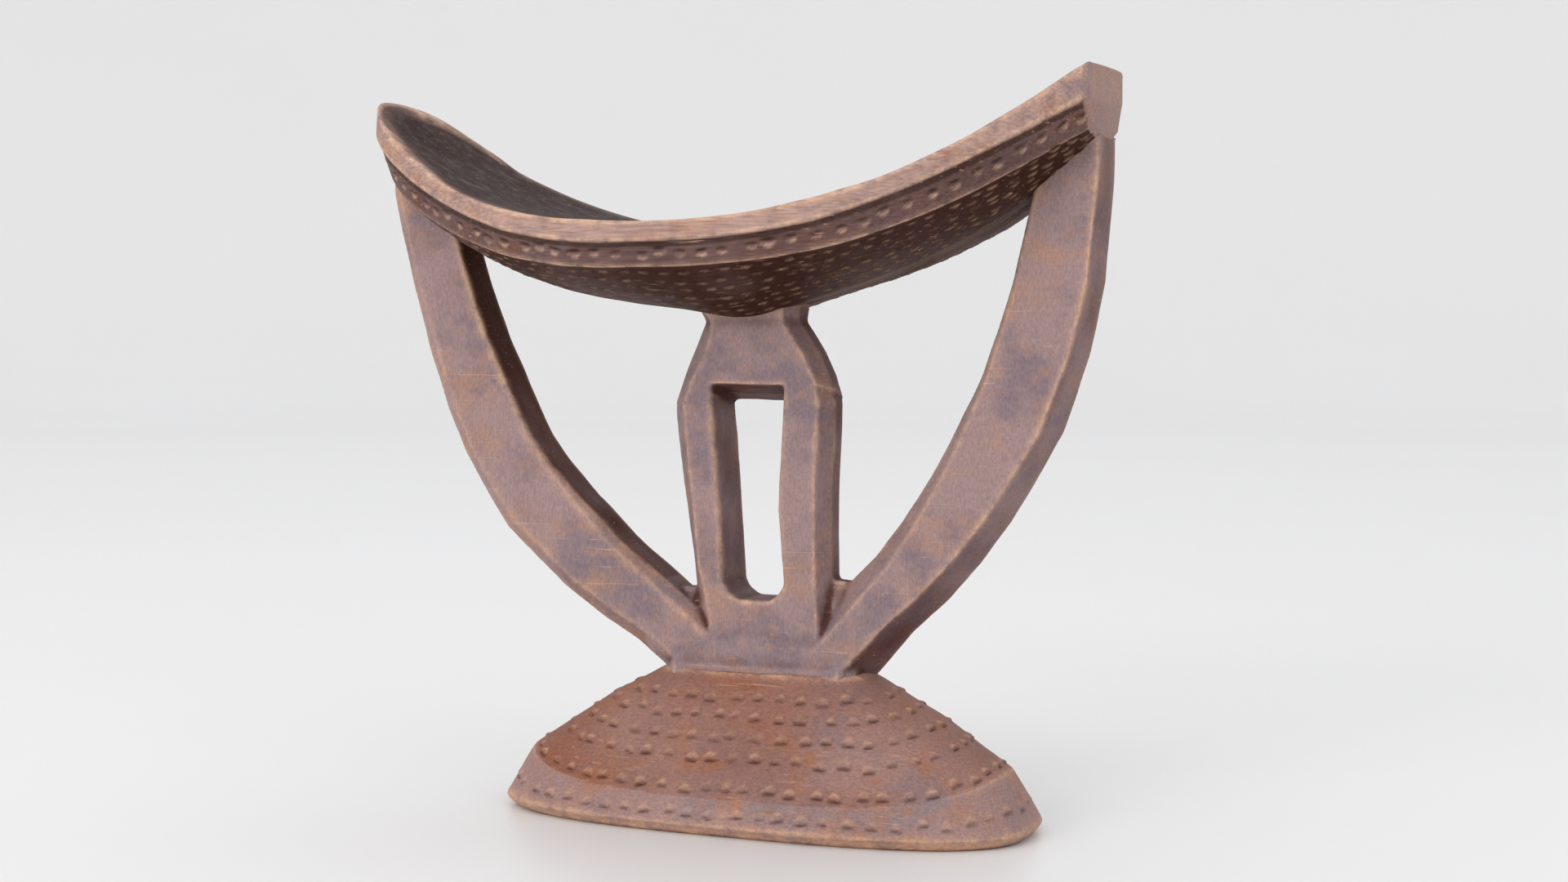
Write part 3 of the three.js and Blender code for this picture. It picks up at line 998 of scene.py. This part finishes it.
@dataclass
class Frame:
    """Arms, post and waist, carved as one and then parted along the CAD seams."""

    left: Arm
    right: Arm
    post: Post
    waist: Waist
    voxel: float = 0.5
    seam_height: float = 50.8  # over the waist
    slot_top: float = 95.0  # the seam between legs and head
    corner_height: float = 36.8
    corners: Pair = (-15.2, 36.0)
    forks: Pair = (-8.2, 27.2)
    fork_lean: float = 0.63  # how fast the left parting moves out above the waist
    fork_height: float = 9.2  # how high the partings between arms and post go
    post_x: float = 7.7
    slot_reach: float = 9.5  # from the post's middle, past the slot's sides
    post_reach: float = 21.0  # past the post's sides
    arm_reach: float = 25.0  # past the waist

    def blank(self) -> Mesh:
        """Join all the blanks and grow one even skin over them."""
        joined = bmesh.new()
        parts = [self.left.sections(), self.right.sections(), self.post.leg(-1), self.post.leg(1),
                 self.post.head(), *self.waist.sections()]
        for sections in parts:
            rings = [[joined.verts.new(Vector(p) / MM_PER_M) for p in section] for section in sections]
            for low, high in itertools.pairwise(rings):
                for i, j in enumerate([*range(1, len(low)), 0]):
                    joined.faces.new([low[i], low[j], high[j], high[i]])
            joined.faces.new(rings[0])
            joined.faces.new(rings[-1])
        bmesh.ops.triangulate(joined, faces=joined.faces)
        bmesh.ops.recalc_face_normals(joined, faces=joined.faces)
        mesh = bpy.data.meshes.new("frame_blank")
        joined.to_mesh(mesh)
        joined.free()
        rough = placed("frame_blank", mesh)
        skin = rough.modifiers.new("skin", "REMESH")
        skin.mode = "VOXEL"
        skin.voxel_size = self.voxel / MM_PER_M
        graph = bpy.context.evaluated_depsgraph_get()
        grown = bpy.data.meshes.new_from_object(rough.evaluated_get(graph))
        bpy.data.objects.remove(rough)
        return grown

    def build(self, wood: Material) -> None:
        """Carve the frame, part it and finish each member."""
        carving = Carving(self.blank())
        carving.points = carving.eased(3)
        carving.push(carving.waver((0.26, 14, 11), (0.1, 5, 12)))
        carving.wear()
        carving.tone = self.shelter_and_shade(carving)
        carving.record()
        for name, part in self.parted(carving.mesh).items():
            finish_piece(part, wood, name)

    def shelter_and_shade(self, carving: Carving) -> Array:
        """How dark each point is painted: partly wood kept from rubbing hands, partly painted shade.

        The sides of the windows and the slot's roof are darkest, the outer edges only low down. The
        darkening under the cradle, on faces turned down and on the low outer edges is painted shade.
        """
        normal_x, normal_y, normal_z = carving.normals().T
        x, _, z = carving.points.T
        from_post = np.abs(x - self.post_x)
        outer = np.clip(normal_x * np.sign(x - self.post_x) * 2, 0, 1) * (from_post > self.arm_reach)
        # painted shade on the outer edges low down, where they turn from the light
        low = outer * fade(-z, -70, 30)
        # faces that turn sideways are darker: partly wood kept from hands, partly painted shade inside the
        # windows
        sideways = np.clip(1.15 - np.abs(normal_y) / 0.7 * (1 - 0.45 * low), 0, 1)
        chamfer = (from_post > self.slot_reach) & (from_post < self.post_reach) & (z > self.seam_height)
        slot_side = (from_post < self.slot_reach) & (z < self.slot_top)
        depth = 0.82 - 0.5 * outer - 0.36 * chamfer - 0.42 * slot_side + 0.5 * low
        # painted shade high up, under the cradle
        depth += 0.3 * fade(z, 85, 30) * (outer < 0.1)
        # painted shade on faces turned down, such as the slot's roof
        depth += 0.35 * fade(-normal_z, 0.75, 0.25)
        return np.clip(sideways * (depth + carving.waver((0.22, 7, 13))), 0, 1)

    def parted(self, whole: Mesh) -> dict[str, Mesh]:
        """Cut the carved frame into its six members.

        Args:
            whole: the frame in one.

        Returns:
            A closed mesh for each CAD node.
        """
        body = bmesh.new()
        body.from_mesh(whole)
        (left_corner, right_corner), (left_fork, right_fork) = self.corners, self.forks
        seam, rise = self.seam_height, self.seam_height - self.corner_height
        partings = (  # a point, the direction across, and the window
            ((0, seam), (0, 1), (-30, 50, 40, 60)),
            ((self.post_x, self.slot_top), (0, 1), (-15, 30, 85, 105)),
            ((left_corner, self.corner_height), (rise, left_corner - left_fork), (-30, 5, 30, seam)),
            ((right_corner, self.corner_height), (rise, right_corner - right_fork), (15, 50, 30, seam)),
            ((left_fork, seam), (1, self.fork_lean), (-20, 0, seam, 60)),
            ((right_fork, seam), (1, 0), (20, 35, seam, 60)),
        )
        for point, normal, window in partings:
            self.cut(body, point, normal, window)
        named: dict[str, list[bmesh.types.BMFace]] = {}
        for face in body.faces:
            middle = face.calc_center_median() * MM_PER_M
            named.setdefault(self.member(middle.x, middle.z), []).append(face)
        parts = {}
        body.faces.index_update()
        for name, faces in named.items():
            part = body.copy()
            keep = {face.index for face in faces}
            part.faces.index_update()
            bmesh.ops.delete(part, geom=[f for f in part.faces if f.index not in keep], context="FACES")
            rim = [edge for edge in part.edges if edge.is_boundary]
            caps = bmesh.ops.holes_fill(part, edges=rim, sides=0)["faces"]
            for edge in rim:
                edge.smooth = False
            for cap in caps:
                cap.smooth = False
            bmesh.ops.triangulate(part, faces=caps)
            mesh = bpy.data.meshes.new(name + "_carved")
            part.to_mesh(mesh)
            part.free()
            parts[name] = mesh
        body.free()
        return parts

    def cut(self, body: bmesh.types.BMesh, point: Pair, normal: Pair,
            window: Quad) -> None:
        """Score the mesh along a plane, within a window.

        Args:
            body: the mesh.
            point: a point (x, z) of the plane.
            normal: the plane's direction (x, z).
            window: lowest and highest x, then lowest and highest z, of the faces to score.
        """
        low_x, high_x, low_z, high_z = [value / MM_PER_M for value in window]
        faces = []
        for face in body.faces:
            middle = face.calc_center_median()
            if low_x < middle.x < high_x and low_z < middle.z < high_z:
                faces.append(face)
        edges = {edge for face in faces for edge in face.edges}
        verts = {vert for face in faces for vert in face.verts}
        bmesh.ops.bisect_plane(
            body, geom=[*verts, *edges, *faces], dist=1e-7,
            plane_co=Vector((point[0], 0, point[1])) / MM_PER_M,
            plane_no=Vector((normal[0], 0, normal[1])).normalized(),
        )

    def member(self, x: float, z: float) -> str:
        """Name the member that a point of the skin belongs to."""
        above = z - self.seam_height
        if above < 0:
            share = -above / (self.seam_height - self.corner_height)
            left = self.forks[0] + (self.corners[0] - self.forks[0]) * share
            right = self.forks[1] + (self.corners[1] - self.forks[1]) * share
            return "left_arm" if x < left else "right_arm" if x > right else "waist"
        if x < self.forks[0] - self.fork_lean * min(above, self.fork_height):
            return "left_arm"
        if x > self.forks[1] + 0.1 * max(above - self.fork_height, 0):
            return "right_arm"
        if z > self.slot_top:
            return "post_head"
        return "post_left_leg" if x < self.post_x else "post_right_leg"


def measured_frame() -> Frame:
    """The frame with the outlines of this headrest."""
    left = Arm(
        outer_ridge=[(-81.2, 147.0), (-81.2, 141.0), (-79.0, 130.5), (-75.9, 119.4), (-71.1, 103.9),
                     (-66.6, 91.6), (-62.2, 81.9), (-57.0, 73.9), (-50.6, 65.0), (-42.6, 58.2), (-35.8, 52.6),
                     (-25.8, 46.0), (-17.6, 41.5), (-9.9, 36.1), (-6.0, 33.6)],
        inner_ridge=[(-69.5, 142.0), (-64.3, 124.1), (-61.5, 115.3), (-58.6, 107.5), (-52.6, 94.9),
                     (-47.2, 84.3), (-42.6, 78.3), (-35.3, 70.0), (-25.8, 60.4), (-16.5, 52.9), (-7.8, 46.0),
                     (-2.0, 41.0)],
        outer_cut=(2.3, 3.9), outer_edge_y=(-4.2, 4.2), inner_cut=(0.2, 2.8), slimmer_top=1.7,
    )
    right = Arm(
        outer_ridge=[(87.5, 150.0), (87.2, 140.7), (86.3, 131.2), (85.1, 119.5), (83.8, 113.9), (81.4, 104.3),
                     (78.7, 97.3), (74.9, 87.6), (70.0, 79.6), (62.8, 68.7), (55.6, 59.6), (48.7, 52.3),
                     (40.8, 45.3), (32.2, 36.3), (29.0, 33.4)],
        inner_ridge=[(75.4, 144.0), (73.1, 134.4), (69.9, 120.0), (66.7, 109.5), (63.5, 99.7), (60.3, 92.6),
                     (56.6, 84.1), (52.6, 76.3), (47.2, 67.2), (40.8, 58.0), (34.7, 51.1), (28.0, 43.5),
                     (24.0, 39.0)],
        outer_cut=(0.0, 4.4), outer_edge_y=(3.0, 5.2), inner_cut=(0.8, 6.5),
    )
    post = Post(
        left_edge=[(-3.6, 111.7), (-8.6, 100.6), (-11.3, 93.2), (-11.2, 89.5), (-10.3, 82.2), (-8.1, 67.5),
                   (-6.5, 56.6), (-6.0, 50.0)],
        left_ridge=[(-0.7, 109.5), (-2.3, 103.9), (-7.8, 94.6), (-6.6, 82.3), (-5.1, 69.5), (-4.0, 56.7),
                    (-2.1, 49.2), (-1.0, 44.0)],
        right_ridge=[(15.2, 113.0), (17.6, 109.6), (21.0, 104.6), (25.2, 96.1), (24.4, 85.6), (24.0, 75.5),
                     (24.0, 63.0), (24.3, 50.5), (24.8, 44.0)],
        slot_left=[(-0.9, 97.6), (0.1, 85.1), (1.3, 69.8), (1.9, 57.1), (2.1, 53.0), (3.2, 51.0),
                   (5.6, 49.4)],
        slot_right=[(16.6, 97.4), (14.9, 70.4), (16.1, 57.7), (16.4, 53.0), (15.2, 51.0), (13.0, 49.4)],
    )
    return Frame(left, right, post, Waist())


# ---- studio ----------------------------------------------------------------
@dataclass
class Studio:
    """Pale round floor that curves up into a low wall, soft lamps and the camera. Metres and degrees."""

    floor_radius: float = 1.7
    wall_radius: float = 2.6
    wall_height: float = 1.1
    camera_place: Triple = (0.20946, -0.47204, 0.11366)
    camera_turn: float = 22.468
    camera_dip: float = 3.258
    lens: float = 52.72
    turns: int = 96  # steps round the floor
    aim: Triple = (0.0, 0.0, 0.09)
    sky_colour: str = "#f4f5f7"
    sky_strength: float = 1.09
    lamps: tuple[tuple[str, Triple, float, float, str], ...] = (
        ("key_softbox", (-0.55, -1.5, 0.62), 0.9, 12.0, "#fffaf4"),
        ("fill_softbox", (1.4, -0.8, 0.6), 1.1, 2.0, "#f6f8ff"),
        ("top_softbox", (0.0, 0.1, 1.8), 1.2, 1.0, "#ffffff"),
    )

    def floor(self) -> None:
        """Lay the floor and its curved wall."""
        profile = [(0.0, 0.0), (self.floor_radius * 0.5, 0.0), (self.floor_radius, 0.0)]
        run = self.wall_radius - self.floor_radius
        for bend in np.linspace(0, math.pi / 2, 13)[1:]:
            radius = self.floor_radius + run * math.sin(bend)
            profile.append((radius, self.wall_height * (1 - math.cos(bend))))
        turn = np.arange(self.turns) / self.turns * 2 * math.pi
        rings = [
            np.stack([radius * np.cos(turn), radius * np.sin(turn), np.full(self.turns, height)], axis=1)
            for radius, height in profile
        ]
        made = bmesh.new()
        middle = made.verts.new((0, 0, 0))
        loops = [[made.verts.new(p) for p in ring] for ring in rings[1:]]
        for i, j in enumerate([*range(1, self.turns), 0]):
            made.faces.new([middle, loops[0][i], loops[0][j]])
            for low, high in itertools.pairwise(loops):
                made.faces.new([low[i], high[i], high[j], low[j]])
        mesh = bpy.data.meshes.new("studio_floor")
        made.to_mesh(mesh)
        made.free()
        mesh.polygons.foreach_set("use_smooth", np.ones(len(mesh.polygons), dtype=bool))
        mesh.materials.append(StudioPaper().material())
        placed("studio_floor", mesh)

    def lamp(self, name: str, place: Triple, size: float, power: float, tint: str) -> None:
        """Hang a square soft lamp that faces the headrest; size in metres, power in watts."""
        data = bpy.data.lights.new(name, "AREA")
        data.shape = "SQUARE"
        data.size = size
        data.energy = power
        data.color = linear(tint)[:3]
        lamp = placed(name, data)
        lamp.location = place
        lamp.rotation_euler = (Vector(self.aim) - Vector(place)).to_track_quat("-Z", "Y").to_euler()
        lamp.visible_camera = False

    def build(self) -> None:
        """Set up floor, lamps, sky and camera."""
        self.floor()
        for lamp in self.lamps:
            self.lamp(*lamp)
        world = bpy.data.worlds.new("soft_sky")
        world.use_nodes = True
        sky = world.node_tree.nodes["Background"]
        sky.inputs["Color"].default_value = linear(self.sky_colour)
        sky.inputs["Strength"].default_value = self.sky_strength
        scene = bpy.context.scene
        scene.world = world
        scene.view_settings.view_transform = "Standard"
        data = bpy.data.cameras.new("camera")
        data.lens = self.lens
        data.sensor_width = 36.0
        data.clip_start = 0.02
        camera = placed("camera", data)
        camera.location = self.camera_place
        camera.rotation_euler = (math.radians(90 - self.camera_dip), 0, math.radians(self.camera_turn))
        scene.camera = camera


# ---- all of it -------------------------------------------------------------
# In these woods the grime colour also paints shadow and the rubbed colour also paints highlights on the gouge
# marks, and the deep colour also paints shade on the cradle and the frame.
CRADLE_WOOD = CarvedWood(
    name="hardwood_cradle_knife_carved", face="#967b76", stain="#9a6849", bloom="#8b7576", deep_and_shade="#391b12",
    rubbed_and_highlight="#c9a68f", grime_and_shadow="#26110b", grain=(8.0, 0.5, 0.5), streak=0.2,
)
FRAME_WOOD = CarvedWood(
    name="hardwood_frame_knife_carved", face="#977f7e", stain="#a78069", bloom="#7f6e74", deep_and_shade="#482012",
    rubbed_and_highlight="#cba489", grime_and_shadow="#431f15", grain=(0.5, 0.5, 1.1), streak=0.13,
)
FOOT_WOOD = CarvedWood(
    name="hardwood_foot_gouge_marked", face="#9c807c", stain="#a8714d", bloom="#8a797c", deep_and_shade="#83523d",
    rubbed_and_highlight="#c69e83", grime_and_shadow="#3d1e15", grain=(0.9, 0.5, 0.5), streak=0.15,
)


def main() -> None:
    """Build the headrest and its studio."""
    logging.basicConfig(level=logging.INFO, format="%(name)s %(message)s")
    Studio().build()
    Cradle().build(CRADLE_WOOD.material())
    measured_frame().build(FRAME_WOOD.material())
    Foot().build(FOOT_WOOD.material())


if __name__ == "__main__":
    main()
